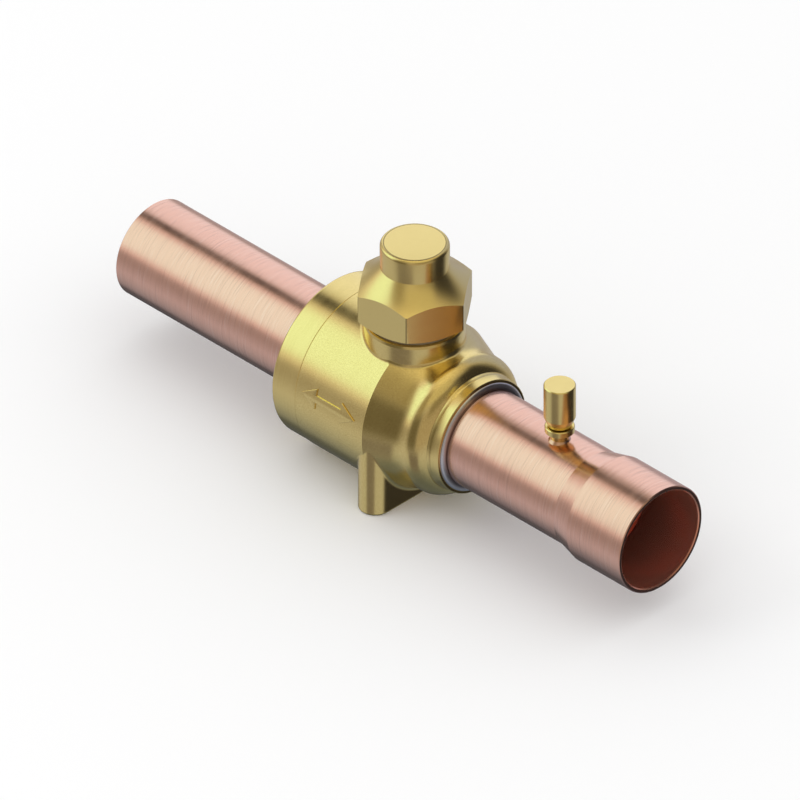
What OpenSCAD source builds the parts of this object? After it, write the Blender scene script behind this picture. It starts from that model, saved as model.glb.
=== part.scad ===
// Shut-off ball valve for refrigeration pipe.
// A ball with a full bore turns a quarter turn between two seats. Its spindle stands up
// through a neck that a screwed cap seals. The outlet tube carries a small access valve.
// The origin is the centre of the foot's face. +X points out of the outlet, +Z up.
// Places with _x lie along the pipe from the spindle axis, those with _z above the pipe axis.

/* [Pipe] */
// Outside diameter of both tubes
tube_d = 34.3; // [33.5:0.1:34.6]
// Wall of both tubes
tube_wall = 1.6; // [1.4:0.1:1.8]
// Distance from the spindle axis to the inlet tube's plain end
inlet_reach = 120.4; // [80:0.1:160]
// Distance from the spindle axis to the outlet socket's mouth
outlet_reach = 112.9; // [100:0.1:150]
// Inside diameter of the outlet socket, which takes a tube of 35 mm
socket_d = 35.1; // [34.6:0.1:36.5]
// Depth of the outlet socket
socket_depth = 24; // [18:0.5:26]
// Length of the cone between tube and socket
swage_l = 8; // [5:0.5:10]
// Depth of each tube's seat inside the brass, outlet side
tube_seat_l = 8.3; // [7.5:0.1:8.6]
// Step by which each tube's end is turned down where it goes into the brass
end_step = 0.2; // [0.18:0.01:0.4]

/* [Body] */
// Diameter of the body's barrel
body_d = 58.54; // [57.8:0.1:61]
// Height of the pipe axis above the foot's face
axis_h = 29.4; // [29.4:0.1:34]
// Where the barrel ends and the cone of the shoulder starts
shoulder_x = 4.9; // [3:0.1:6]
// Slope of the shoulder's cone in degrees
shoulder_slope = 20; // [18:0.5:22]
// Drop from the barrel's outside to the collar's after the shoulder
collar_step = 4.32; // [4:0.02:4.6]
// Where the collar turns into the nose
collar_x = 20; // [19.6:0.1:20.4]
// Radius of the nose's round
nose_r = 6.95; // [6.6:0.05:7.2]
// Diameter of the lip around the outlet tube, at its root
lip_d = 41.9; // [41.4:0.1:42.4]
// Diameter of the lip at its mouth
lip_mouth_d = 39; // [38.4:0.1:39.6]
// Length of the lip
lip_l = 3.8; // [3.4:0.1:4.2]

/* [End closure] */
// Drop from the barrel's outside to the end closure's
closure_step = 0.17; // [0.05:0.01:0.5]
// Distance from the spindle axis to the seam between body and closure
seam_reach = 26; // [25:0.1:28]
// Thickness of the closure outside the body
closure_l = 10.95; // [8:0.1:14]
// Round on the closure's back edge
closure_edge = 1; // [0.4:0.1:2]
// Length of the closure's neck around the inlet tube
closure_neck_l = 5.6; // [4:0.1:8]

/* [Foot] */
// Thickness of the foot pad along the pipe
foot_t = 11.2; // [9:0.1:13]
// Width of the foot pad across the pipe
foot_w = 57.3; // [52:0.1:57.6]
// Distance from the spindle axis to the middle of the foot
foot_x = 4.8; // [3:0.1:6]
// Round on the foot's lower edge
foot_edge = 1; // [0.5:0.1:1.5]
// Distance between the two mounting holes
foot_hole_pitch = 40; // [38:0.5:44]
// Diameter of the mounting holes, tapped for M6
foot_hole_d = 5; // [4:0.1:6]
// Depth of the mounting holes
foot_hole_depth = 9; // [6:0.5:9.5]

/* [Ball and seats] */
// Diameter of the ball
ball_d = 45; // [44.6:0.1:45.6]
// Diameter of the ball's bore
bore_d = 31; // [28:0.1:31]
// Width of the slot in the ball's top
slot_w = 7; // [6:0.1:8]
// Height of the slot's floor above the pipe axis
slot_z = 18.4; // [17.5:0.1:19]
// Diameter of the vent hole between slot and bore
vent_d = 2.4; // [1.5:0.1:4]
// Diameter of the cavity around the ball
cavity_d = 47.2; // [46.6:0.1:48]
// Diameter of the pockets that hold the seats
pocket_d = 42; // [41.6:0.1:42.4]
// Distance from the spindle axis to the floor of each seat pocket
pocket_x = 20; // [19.8:0.1:20.2]
// Distance from the spindle axis to the front of each seat
seat_front_x = 12.9; // [12.5:0.1:13.4]
// Thickness of the soft ring behind each seat
seat_ring_t = 1.5; // [1.2:0.1:1.8]

/* [Spindle and neck] */
// Diameter of the neck under the seal cap
neck_d = 33.4; // [32:0.1:34]
// Height of the neck's shoulder above the barrel's top
neck_rise = 2.43; // [1.8:0.01:3.4]
// Chamfer round the neck's shoulder
neck_edge = 0.9; // [0.4:0.1:1.2]
// Diameter of the thread that carries the seal cap
cap_thread_d = 26.8; // [26:0.1:27.4]
// Height of that thread above the shoulder
cap_thread_l = 12.3; // [11.8:0.1:13]
// Diameter of the spindle
spindle_d = 12; // [11:0.1:12.6]
// Diameter of the flange that keeps the spindle in
flange_d = 18.4; // [17:0.1:18.8]
// Length of the spindle's tang across the pipe
tang_l = 15.6; // [13:0.1:16.5]
// Width across the flats of the spindle's square
square_w = 8.4; // [7:0.1:8.4]
// Height of the spindle's top above the shoulder
spindle_rise = 22.1; // [19.4:0.1:22.2]
// Diameter of the stop pin
pin_d = 2.5; // [2:0.1:2.6]
// Reach of the stop pin from the spindle axis
pin_reach = 12.6; // [12:0.1:12.8]
// Diameter of the gland nut's thread
gland_d = 18; // [17:0.1:19]
// Width of the spanner slots in the gland nut
gland_slot_w = 3; // [2:0.1:3.5]

/* [Seal cap] */
// Size of the seal cap's hexagon across the flats
hex_af = 34.8; // [34:0.1:36]
// Turn of the hexagon about the spindle, in degrees
hex_turn = 7; // [0:1:59]
// Height of the hexagon's underside above the shoulder
hex_rise = 2.4; // [2:0.1:3.2]
// Height of the hexagon, from its underside to its upper corners
hex_l = 11.2; // [10.6:0.1:12]
// Slope of the chamfer under the hexagon, in degrees
hex_chamfer = 30; // [20:1:40]
// Diameter of the round skirt under the hexagon
skirt_d = 30.4; // [29.4:0.1:31.4]
// Diameter of the boss on top
boss_d = 22.9; // [22:0.1:24]
// Height of the hollow cone between hexagon and boss
cone_l = 7.8; // [7.4:0.1:8.4]
// Height of the boss
boss_l = 8.9; // [8.5:0.1:10.4]
// Round on the boss's top edge
boss_edge = 1.3; // [0.8:0.1:2]
// Depth by which the cone is hollowed below a straight slope
cone_sag = 0.55; // [0.2:0.05:0.9]
// Thickness of the cap's top
cap_top_t = 3.4; // [2.6:0.1:3.4]
// Diameter of the inside of the boss
cap_bore_d = 16.4; // [14:0.1:17]
// Thickness of the gasket under the cap
gasket_t = 0.7; // [0.5:0.1:0.8]

/* [Access valve] */
// Distance from the spindle axis to the access valve
access_x = 66.6; // [60:0.1:72]
// Diameter of the access valve's stem
stem_d = 5.8; // [5.2:0.1:6.4]
// Diameter of its collar
access_collar_d = 9.9; // [9:0.1:10.6]
// Height of the collar's underside above the pipe axis
access_collar_z = 20.3; // [19.6:0.1:20.7]
// Thickness of the collar
access_collar_t = 2.3; // [1.8:0.1:2.5]
// Diameter of the thread that carries the access cap
access_thread_d = 6.6; // [6.2:0.1:6.8]
// Height of that thread's top above the pipe axis
access_thread_z = 32; // [31.8:0.1:32.6]
// Diameter of the access cap
access_cap_d = 10.6; // [9.8:0.1:11.4]
// Height of the access cap's top above the pipe axis
access_cap_z = 38.7; // [38.2:0.1:41]
// Diameter of the access cap's lower end
access_cap_foot_d = 7.9; // [7.7:0.1:8.4]
// Diameter of the valve core
core_d = 4.4; // [4.2:0.1:4.6]
// Diameter of the core's pin
core_pin_d = 1.2; // [1:0.05:1.3]
// Turns of the core's spring
spring_turns = 6; // [4:1:8]
// Thickness of the core spring's wire
spring_wire = 0.3; // [0.2:0.02:0.32]

/* [Fits] */
// Radial clearance of a turning fit
run_fit = 0.05; // [0.03:0.01:0.08]
// Radial gap between tube and socket, which the braze fills
braze_fit = 0.05; // [0.03:0.01:0.08]

/* [Hidden] */

brass = [0.80, 0.72, 0.40];
copper = [0.86, 0.58, 0.46];
silver = [0.76, 0.76, 0.77];
steel = [0.68, 0.70, 0.72];
white_plastic = [0.94, 0.94, 0.91];
black_rubber = [0.13, 0.13, 0.14];

$fn = 72;
tiny = 0.01;
big = 60;

tube_r = tube_d / 2;
port_r = tube_r - tube_wall;
socket_r = socket_d / 2;
end_r = tube_r - end_step;
tube_bore_r = end_r + braze_fit;
braze_l = 2;
braze_rise = 1.2;
braze_dip = 0.25;
braze_tip = 0.1;

// Places along the pipe inside the brass
nose_l = 6;
crease_x = collar_x + nose_l;
lip_x = crease_x + lip_l;
mouth_x = lip_x + 0.5;
outlet_stop_x = mouth_x - tube_seat_l;
inlet_stop_x = -outlet_stop_x - 2;
closure_back_x = -seam_reach - closure_l;
closure_mouth_x = closure_back_x - closure_neck_l - 0.5;
spigot_x = -17;
spigot_r = 25.5;
spigot_gap = 0.2;
cavity_x = 11;
seam_chamfer = 0.2;

body_r = body_d / 2;
collar_r = body_r - collar_step;
closure_r = body_r - closure_step;
ball_r = ball_d / 2;
cavity_r = cavity_d / 2;
pocket_r = pocket_d / 2;
seat_r = pocket_r - run_fit;
seat_back_x = pocket_x - seat_ring_t;

// Heights inside the neck
neck_z = body_r + neck_rise;
thread_top_z = neck_z + cap_thread_l;
spindle_top_z = neck_z + spindle_rise;
flange_z = 23.4;
flange_t = 2.6;
washer_t = 0.75;
flange_bore_z = flange_z + flange_t + washer_t + run_fit;
chamber_drop = 0.7;
chamber_z = neck_z - chamber_drop;
packing_t = 2.2;
gland_z = chamber_z + packing_t;
gland_rise = 9.3;
gland_top_z = neck_z + gland_rise;
gland_slot_l = 2.5;
pin_lift = 1.6;
pin_z = gland_top_z + pin_lift;
shank_l = 3;
square_z = pin_z + shank_l;
lower_ring_z = 28.9;
upper_ring_drop = 3.8;
upper_ring_z = gland_top_z - upper_ring_drop;
ring_groove_w = 2.2;
ring_groove_depth = 1.5;
ring_section = 1.9;

// Seal cap
gasket_z = neck_z + run_fit;
skirt_z = gasket_z + gasket_t + run_fit;
cap_thread_room = 1.4;
cap_thread_z = thread_top_z + cap_thread_room;
hex_z = neck_z + hex_rise;
hex_corner_z = hex_z + hex_l;
boss_z = hex_corner_z + cone_l;
cap_top_z = boss_z + boss_l;
hex_r = hex_af / 2 / cos(30);

// Access valve
access_chamber_z = 21.2;
core_z = 24.5;
core_l = 6.5;
core_floor_t = 1;
core_hole_r = core_pin_d / 2 + 0.15;
core_room_r = 1.3;
core_seal_t = 1;
core_seal_r = 1.5;
core_pin_top_z = 32.4;
core_collar_z = 29.4;
core_collar_t = 0.6;
core_collar_r = 1.15;
access_cap_gap = 0.4;
access_cap_foot_z = access_collar_z + access_collar_t + access_cap_gap;
access_cap_cone_z = access_cap_foot_z + 3.3;
access_collar_edge = 0.25;
access_braze_drop = 0.95;
access_braze_rise = 0.55;
access_braze_spread = 1.4;
access_braze_top = 0.15;
access_gasket_t = 0.9;
access_gasket_z = access_thread_z + run_fit;
stem_foot_z = 15.2;

// Places the revolved shapes of its children along the pipe, +Z of the child becomes +X
module on_pipe() translate([-foot_x, 0, axis_h]) rotate([0, 90, 0]) children();

// Places its children about the spindle axis
module on_spindle() translate([-foot_x, 0, axis_h]) children();

// Places its children about the access valve's axis
module on_access() translate([access_x - foot_x, 0, axis_h]) children();

// Upright ring between two heights
module ring(outer, inner, low, high) {
    difference() {
        translate([0, 0, low]) cylinder(r = outer, h = high - low);
        translate([0, 0, low - 1]) cylinder(r = inner, h = high - low + 2);
    }
}

// Half section of a lip: a bulging outside from root to mouth and a slightly sloping face
module lip_outline(root_r, mouth_r, length) {
    drop = root_r - mouth_r;
    round_r = (length * length + drop * drop) / (2 * drop);
    intersection() {
        translate([root_r - round_r, 0]) circle(r = round_r);
        square([root_r + 1, length]);
    }
    polygon([[0, 0], [mouth_r, 0], [mouth_r, length], [tube_bore_r + braze_rise, length + 0.5],
        [0, length + 0.5]]);
}

// Half section of the body's outside: barrel, sloping shoulder, collar, round nose and lip
module body_outline() {
    cone_end_x = shoulder_x + (body_r - collar_r) / tan(shoulder_slope);
    polygon([[0, -seam_reach], [body_r - seam_chamfer, -seam_reach],
        [body_r, -seam_reach + seam_chamfer], [body_r, shoulder_x], [collar_r, cone_end_x],
        [collar_r, collar_x], [0, collar_x]]);
    translate([0, collar_x - tiny]) square([collar_r - nose_r, crease_x - collar_x + 2 * tiny]);
    intersection() {
        translate([collar_r - nose_r, collar_x]) circle(r = nose_r);
        translate([0, collar_x - 1]) square([big, crease_x - collar_x + 1.4]);
    }
    translate([0, crease_x]) lip_outline(lip_d / 2, lip_mouth_d / 2, lip_l);
}

// Half section of everything hollow along the pipe inside the body
module body_hollow() {
    polygon([[0, -seam_reach - 1], [spigot_r, -seam_reach - 1], [spigot_r, spigot_x],
        [cavity_r, spigot_x], [cavity_r, cavity_x], [pocket_r, cavity_x], [pocket_r, pocket_x],
        [port_r, pocket_x], [port_r, outlet_stop_x], [tube_bore_r, outlet_stop_x],
        [tube_bore_r, mouth_x - braze_rise], [tube_bore_r + braze_rise, mouth_x],
        [tube_bore_r + braze_rise, mouth_x + 1], [0, mouth_x + 1]]);
}

// Section of the foot pad with its rounded lower edge
module foot_section(half) {
    difference() {
        translate([half ? 0 : -foot_t / 2, 0]) square([half ? foot_t / 2 : foot_t, axis_h]);
        for (side = half ? [1] : [-1, 1]) {
            difference() {
                translate([side * foot_t / 2, 0]) square(2 * foot_edge, center = true);
                translate([side * (foot_t / 2 - foot_edge), foot_edge]) circle(r = foot_edge);
            }
        }
    }
}

// Foot pad: a straight middle and two round ends
module foot_pad() {
    straight = foot_w - foot_t;
    translate([0, straight / 2, 0]) rotate([90, 0, 0]) {
        linear_extrude(height = straight) foot_section(false);
    }
    for (side = [-1, 1]) {
        translate([0, side * straight / 2, 0]) rotate_extrude() foot_section(true);
    }
}

module valve_body() {
    color(brass) difference() {
        union() {
            on_pipe() rotate_extrude() body_outline();
            on_spindle() translate([0, 0, cavity_r / 2]) {
                cylinder(d = neck_d, h = neck_z - neck_edge - cavity_r / 2);
                translate([0, 0, neck_z - neck_edge - cavity_r / 2]) {
                    cylinder(d1 = neck_d, d2 = neck_d - 2 * neck_edge, h = neck_edge);
                }
                cylinder(d = cap_thread_d, h = thread_top_z - cavity_r / 2);
            }
            foot_pad();
        }
        on_pipe() rotate_extrude() body_hollow();
        on_spindle() {
            cylinder(r = spindle_d / 2 + run_fit, h = big);
            cylinder(r = flange_d / 2 + 2 * run_fit, h = flange_bore_z);
            translate([0, 0, chamber_z]) cylinder(d = gland_d, h = big);
            translate([-pin_d / 2 - run_fit, pin_d / 2 + run_fit - big, gland_top_z]) cube(big);
        }
        for (side = [-1, 1]) {
            translate([0, side * foot_hole_pitch / 2, -1]) {
                cylinder(d = foot_hole_d, h = foot_hole_depth + 1);
            }
        }
    }
}

module end_closure() {
    color(brass) on_pipe() rotate_extrude() difference() {
        union() {
            difference() {
                polygon([[0, closure_back_x], [closure_r, closure_back_x],
                    [closure_r, -seam_reach - seam_chamfer],
                    [closure_r - seam_chamfer, -seam_reach], [0, -seam_reach]]);
                difference() {
                    translate([closure_r, closure_back_x]) square(2 * closure_edge, center = true);
                    translate([closure_r - closure_edge, closure_back_x + closure_edge]) {
                        circle(r = closure_edge);
                    }
                }
            }
            translate([0, -seam_reach - tiny]) {
                square([spigot_r, seam_reach + spigot_x - spigot_gap + tiny]);
            }
            translate([0, spigot_x - 1]) {
                square([cavity_r - spigot_gap, 1 - spigot_x - seat_front_x + 1]);
            }
            translate([0, closure_back_x + tiny]) mirror([0, 1]) {
                lip_outline(lip_d / 2, lip_mouth_d / 2, closure_neck_l + tiny);
            }
        }
        polygon([[0, closure_mouth_x - 1], [tube_bore_r + braze_rise, closure_mouth_x - 1],
            [tube_bore_r + braze_rise, closure_mouth_x],
            [tube_bore_r, closure_mouth_x + braze_rise], [tube_bore_r, inlet_stop_x],
            [port_r, inlet_stop_x], [port_r, -pocket_x], [pocket_r, -pocket_x], [pocket_r, 0],
            [0, 0]]);
    }
}

module ball() {
    color(silver) difference() {
        on_pipe() rotate_extrude() intersection() {
            circle(r = ball_r, $fn = 144);
            translate([bore_d / 2, -big / 2]) square([big, big]);
        }
        on_spindle() {
            translate([-slot_w / 2, -big / 2, slot_z]) cube([slot_w, big, big]);
            cylinder(d = vent_d, h = big);
        }
    }
}

// Seat ring on the outlet side, with a face that fits the ball
module seat() {
    rotate_extrude() difference() {
        polygon([[port_r, seat_back_x], [seat_r, seat_back_x], [seat_r, seat_front_x + 0.5],
            [seat_r - 0.5, seat_front_x], [port_r, seat_front_x]]);
        circle(r = ball_r + run_fit, $fn = 144);
    }
}

// Soft ring between a seat and its pocket's floor, flattened where it presses
module seat_ring() {
    section_r = seat_ring_t / 2 + 0.15;
    rotate_extrude() intersection() {
        translate([seat_r - section_r, seat_back_x + seat_ring_t / 2]) circle(r = section_r, $fn = 24);
        translate([0, seat_back_x]) square([pocket_r, seat_ring_t]);
    }
}

module outlet_seat() color(white_plastic) on_pipe() seat();

module inlet_seat() color(white_plastic) on_pipe() mirror([0, 0, 1]) seat();

module outlet_seat_ring() color(black_rubber) on_pipe() seat_ring();

module inlet_seat_ring() color(black_rubber) on_pipe() mirror([0, 0, 1]) seat_ring();

// Groove cut around the spindle at one height
module ring_groove(height) {
    ring(spindle_d, spindle_d / 2 - ring_groove_depth, height - ring_groove_w / 2,
        height + ring_groove_w / 2);
}

module spindle() {
    color(steel) on_spindle() difference() {
        union() {
            intersection() {
                translate([-slot_w / 2 + run_fit, -tang_l / 2, slot_z + 0.2]) {
                    cube([slot_w - 2 * run_fit, tang_l, flange_z - slot_z]);
                }
                cylinder(d = tang_l, h = big);
            }
            translate([0, 0, flange_z]) cylinder(d = flange_d, h = flange_t);
            translate([0, 0, flange_z]) cylinder(d = spindle_d, h = square_z - flange_z);
            intersection() {
                translate([-square_w / 2, -square_w / 2, square_z - 1]) {
                    cube([square_w, square_w, spindle_top_z - square_z + 1]);
                }
                union() {
                    cylinder(d = spindle_d - 0.4, h = spindle_top_z - 1);
                    translate([0, 0, spindle_top_z - 1 - tiny]) {
                        cylinder(d1 = spindle_d - 0.4, d2 = spindle_d - 2.4, h = 1 + tiny);
                    }
                }
            }
        }
        ring_groove(lower_ring_z);
        ring_groove(upper_ring_z);
        translate([-big / 2, 0, pin_z]) rotate([0, 90, 0]) cylinder(d = pin_d, h = big);
    }
}

module thrust_washer() {
    color(white_plastic) on_spindle() {
        ring(flange_d / 2, spindle_d / 2, flange_z + flange_t, flange_z + flange_t + washer_t);
    }
}

// Soft ring in a spindle groove, flattened on the shaft and just clear of the bore
module spindle_o_ring(height) {
    inner = spindle_d / 2 - ring_groove_depth;
    outer = spindle_d / 2 + run_fit - 0.02;
    color(black_rubber) on_spindle() rotate_extrude() intersection() {
        translate([(inner + outer) / 2, height]) circle(d = ring_section, $fn = 24);
        translate([inner, height - ring_section]) square([outer - inner, 2 * ring_section]);
    }
}

module spindle_o_ring_lower() spindle_o_ring(lower_ring_z);

module spindle_o_ring_upper() spindle_o_ring(upper_ring_z);

module spindle_packing() {
    color(white_plastic) on_spindle() ring(gland_d / 2, spindle_d / 2 + run_fit, chamber_z, gland_z);
}

module gland_nut() {
    color(brass) on_spindle() difference() {
        ring(gland_d / 2, spindle_d / 2 + run_fit, gland_z, gland_top_z - 2 * run_fit);
        translate([-big / 2, -gland_slot_w / 2, gland_top_z - 2 * run_fit - gland_slot_l]) {
            cube([big, gland_slot_w, big]);
        }
    }
}

module stop_pin() {
    back = spindle_d / 2 - 0.2;
    color(steel) on_spindle() {
        translate([-back, 0, pin_z]) rotate([0, 90, 0]) cylinder(d = pin_d, h = back + pin_reach);
    }
}

// Half section of the seal cap's outside: skirt, hexagon's chamfers, hollow cone and boss
module cap_outline() {
    boss_r = boss_d / 2;
    corner_r = hex_r + 0.2;
    cone_run = corner_r - boss_r;
    cone_rise = boss_z - hex_corner_z;
    chord = sqrt(cone_run * cone_run + cone_rise * cone_rise);
    hollow_r = chord * chord / (8 * cone_sag) + cone_sag / 2;
    out = (hollow_r - cone_sag) / chord;
    translate([0, skirt_z]) square([skirt_d / 2, hex_z - skirt_z + tiny]);
    difference() {
        polygon([[0, hex_z], [hex_af / 2, hex_z],
            [corner_r, hex_z + (corner_r - hex_af / 2) * tan(hex_chamfer)],
            [corner_r, hex_corner_z], [boss_r, boss_z], [0, boss_z]]);
        translate([(corner_r + boss_r) / 2 + cone_rise * out,
                (hex_corner_z + boss_z) / 2 + cone_run * out]) {
            circle(r = hollow_r, $fn = 360);
        }
    }
    difference() {
        translate([0, boss_z - tiny]) square([boss_r, cap_top_z - boss_z + tiny]);
        difference() {
            translate([boss_r, cap_top_z]) square(2 * boss_edge, center = true);
            translate([boss_r - boss_edge, cap_top_z - boss_edge]) circle(r = boss_edge);
        }
    }
}

module seal_cap() {
    thread_r = cap_thread_d / 2 + run_fit;
    color(brass) on_spindle() difference() {
        intersection() {
            rotate_extrude() cap_outline();
            union() {
                rotate([0, 0, hex_turn]) cylinder(r = hex_r, h = big * 2, $fn = 6);
            }
        }
        cylinder(r = thread_r, h = cap_thread_z);
        cylinder(d = cap_bore_d, h = cap_top_z - cap_top_t);
    }
}

module cap_gasket() {
    color(black_rubber) on_spindle() {
        ring(skirt_d / 2, cap_thread_d / 2 + 2 * run_fit, gasket_z, gasket_z + gasket_t);
    }
}

module inlet_tube() {
    color(copper) on_pipe() rotate_extrude() {
        polygon([[port_r, -inlet_reach], [tube_r - 0.3, -inlet_reach],
            [tube_r, -inlet_reach + 0.3], [tube_r, closure_mouth_x - braze_l + braze_tip],
            [end_r, closure_mouth_x - braze_l + braze_tip], [end_r, inlet_stop_x],
            [port_r, inlet_stop_x]]);
    }
}

module outlet_tube() {
    wide_r = socket_r + tube_wall;
    socket_x = outlet_reach - socket_depth;
    color(copper) difference() {
        on_pipe() rotate_extrude() {
            polygon([[port_r, outlet_stop_x], [end_r, outlet_stop_x],
                [end_r, mouth_x + braze_l - braze_tip], [tube_r, mouth_x + braze_l - braze_tip],
                [tube_r, socket_x - swage_l], [wide_r, socket_x], [wide_r, outlet_reach - 0.3],
                [wide_r - 0.3, outlet_reach], [socket_r + 0.3, outlet_reach],
                [socket_r, outlet_reach - 0.3], [socket_r, socket_x],
                [port_r, socket_x - swage_l]]);
        }
        on_access() cylinder(d = stem_d, h = big);
    }
}

// Half section of the braze between a lip's mouth at height 0 and the tube
module braze_outline() {
    top_r = tube_bore_r + braze_rise;
    rise = top_r - tube_r;
    chord = sqrt(rise * rise + braze_l * braze_l);
    hollow_r = chord * chord / (8 * braze_dip) + braze_dip / 2;
    out = (hollow_r - braze_dip) / chord;
    difference() {
        polygon([[end_r, -braze_rise], [tube_bore_r, -braze_rise], [top_r, 0], [tube_r, braze_l],
            [tube_r, braze_l - braze_tip], [end_r, braze_l - braze_tip]]);
        translate([(top_r + tube_r) / 2 + braze_l * out, braze_l / 2 + rise * out]) {
            circle(r = hollow_r, $fn = 120);
        }
    }
}

module outlet_braze() {
    color(silver) on_pipe() translate([0, 0, mouth_x]) rotate_extrude() braze_outline();
}

module inlet_braze() {
    color(silver) on_pipe() translate([0, 0, closure_mouth_x]) mirror([0, 0, 1]) {
        rotate_extrude() braze_outline();
    }
}

// Stem, round collar and threaded top in one piece, hollow from end to end
module access_stub() {
    collar_r = access_collar_d / 2;
    edge = access_collar_edge;
    collar_top_z = access_collar_z + access_collar_t;
    color(brass) on_access() rotate_extrude() difference() {
        union() {
            translate([0, stem_foot_z]) square([stem_d / 2, access_collar_z - stem_foot_z + tiny]);
            polygon([[0, access_collar_z], [collar_r - edge, access_collar_z],
                [collar_r, access_collar_z + edge], [collar_r, collar_top_z - edge],
                [collar_r - edge, collar_top_z], [0, collar_top_z]]);
            translate([0, collar_top_z - tiny]) {
                square([access_thread_d / 2, access_thread_z - collar_top_z + tiny]);
            }
        }
        translate([0, stem_foot_z - 1]) square([stem_d / 2 - 1.3, big]);
        translate([0, access_chamber_z]) square([core_d / 2, big]);
    }
}

module access_braze() {
    low = tube_r - access_braze_drop;
    rise = access_braze_drop + access_braze_rise;
    foot_r = stem_d / 2 + access_braze_spread;
    color(silver) difference() {
        on_access() translate([0, 0, low]) {
            difference() {
                cylinder(r1 = foot_r, r2 = stem_d / 2 + access_braze_top, h = rise, $fn = 180);
                translate([0, 0, -1]) cylinder(d = stem_d, h = rise + 2, $fn = 180);
            }
        }
        on_pipe() cylinder(r = tube_r, h = 2 * big, $fn = 360);
    }
}

module access_core() {
    color(brass) on_access() rotate_extrude() {
        polygon([[core_hole_r, core_z], [core_d / 2, core_z], [core_d / 2, core_z + core_l],
            [core_room_r, core_z + core_l], [core_room_r, core_z + core_floor_t],
            [core_hole_r, core_z + core_floor_t]]);
    }
}

module access_core_pin() {
    head_z = core_z - core_seal_t - 0.6;
    color(steel) on_access() {
        translate([0, 0, head_z]) cylinder(d = core_pin_d, h = core_pin_top_z - head_z);
        translate([0, 0, head_z]) cylinder(r = core_room_r, h = 0.6);
        translate([0, 0, core_collar_z]) cylinder(r = core_collar_r, h = core_collar_t);
    }
}

module access_core_seal() {
    color(black_rubber) on_access() {
        ring(core_seal_r, core_pin_d / 2, core_z - core_seal_t, core_z - 0.02);
    }
}

// Point on the edge of the spring's wire, at a turn angle and an angle around the wire
function spring_point(turn, around, low, rise) = let (
    mid_r = (core_pin_d / 2 + core_room_r) / 2,
    reach = mid_r + spring_wire / 2 * cos(around))
    [reach * cos(turn), reach * sin(turn),
        low + rise * turn / (360 * spring_turns) + spring_wire / 2 * sin(around)];

module access_core_spring() {
    steps = 14;
    sides = 6;
    rings = spring_turns * steps;
    low = core_z + core_floor_t + spring_wire / 2;
    rise = core_collar_z - low - spring_wire / 2;
    points = [for (i = [0:rings], j = [0:sides - 1])
        spring_point(i * 360 / steps, j * 360 / sides, low, rise)];
    walls = [for (i = [0:rings - 1], j = [0:sides - 1])
        let (next = (j + 1) % sides)
        [i * sides + j, i * sides + next, (i + 1) * sides + next, (i + 1) * sides + j]];
    start = [[for (j = [sides - 1:-1:0]) j]];
    end = [[for (j = [0:sides - 1]) rings * sides + j]];
    color(steel) on_access() polyhedron(points, concat(walls, start, end));
}

module access_cap() {
    cap_r = access_cap_d / 2;
    foot_r = access_cap_foot_d / 2;
    thread_r = access_thread_d / 2 + run_fit;
    color(brass) on_access() rotate_extrude() {
        polygon([[thread_r, access_cap_foot_z], [foot_r, access_cap_foot_z],
            [cap_r, access_cap_cone_z], [cap_r, access_cap_z - 0.3],
            [cap_r - 0.3, access_cap_z], [0, access_cap_z], [0, access_cap_z - 2.2],
            [1.9, access_cap_z - 2.2], [1.9, access_gasket_z + access_gasket_t + run_fit],
            [thread_r, access_gasket_z + access_gasket_t + run_fit]]);
    }
}

module access_cap_gasket() {
    color(black_rubber) on_access() {
        ring(access_thread_d / 2, 1.7, access_gasket_z, access_gasket_z + access_gasket_t);
    }
}

valve_body();
end_closure();
ball();
inlet_seat();
outlet_seat();
inlet_seat_ring();
outlet_seat_ring();
spindle();
thrust_washer();
spindle_o_ring_lower();
spindle_o_ring_upper();
spindle_packing();
gland_nut();
stop_pin();
seal_cap();
cap_gasket();
inlet_tube();
outlet_tube();
inlet_braze();
outlet_braze();
access_stub();
access_braze();
access_core();
access_core_pin();
access_core_seal();
access_core_spring();
access_cap();
access_cap_gasket();
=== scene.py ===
import math

import bmesh
import bpy
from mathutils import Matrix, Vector


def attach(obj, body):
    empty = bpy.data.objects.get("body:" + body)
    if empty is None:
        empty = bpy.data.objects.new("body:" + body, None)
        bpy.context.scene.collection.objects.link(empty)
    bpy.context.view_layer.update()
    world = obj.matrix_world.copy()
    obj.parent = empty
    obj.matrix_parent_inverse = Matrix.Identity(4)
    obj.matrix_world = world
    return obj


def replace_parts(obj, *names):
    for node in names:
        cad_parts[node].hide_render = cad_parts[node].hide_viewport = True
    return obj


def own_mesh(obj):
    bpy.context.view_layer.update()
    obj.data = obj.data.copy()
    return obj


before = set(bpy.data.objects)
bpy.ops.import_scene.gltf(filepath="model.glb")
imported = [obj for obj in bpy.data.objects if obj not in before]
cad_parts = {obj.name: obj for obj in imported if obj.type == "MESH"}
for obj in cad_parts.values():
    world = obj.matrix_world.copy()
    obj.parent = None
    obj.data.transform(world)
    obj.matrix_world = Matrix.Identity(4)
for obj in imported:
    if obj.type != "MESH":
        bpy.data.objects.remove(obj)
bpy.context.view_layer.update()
scene = bpy.context.scene
print("valve: frame loaded,", len(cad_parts), "solids")

mm = 0.001
near = 0.01 * mm        # a point this close to a radius or a height lies on it
weldGap = 1e-7          # points of a new piece that are closer than this are merged
solidWeldGap = 1e-6     # the same for a copy of a solid, whose triangles are loose
axisHeight = 0.0294     # the pipe's axis above the foot's face
spindleX = -0.0048      # the spindle's axis along the pipe
accessX = 0.0618        # the access valve's axis along the pipe


# Small helpers for objects and meshes
def placeObject(name, data):
    thing = bpy.data.objects.new(name, data)
    scene.collection.objects.link(thing)
    return thing


def closeMesh(name, bm):
    mesh = bpy.data.meshes.new(name)
    bm.to_mesh(mesh)
    bm.free()
    return mesh


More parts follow.
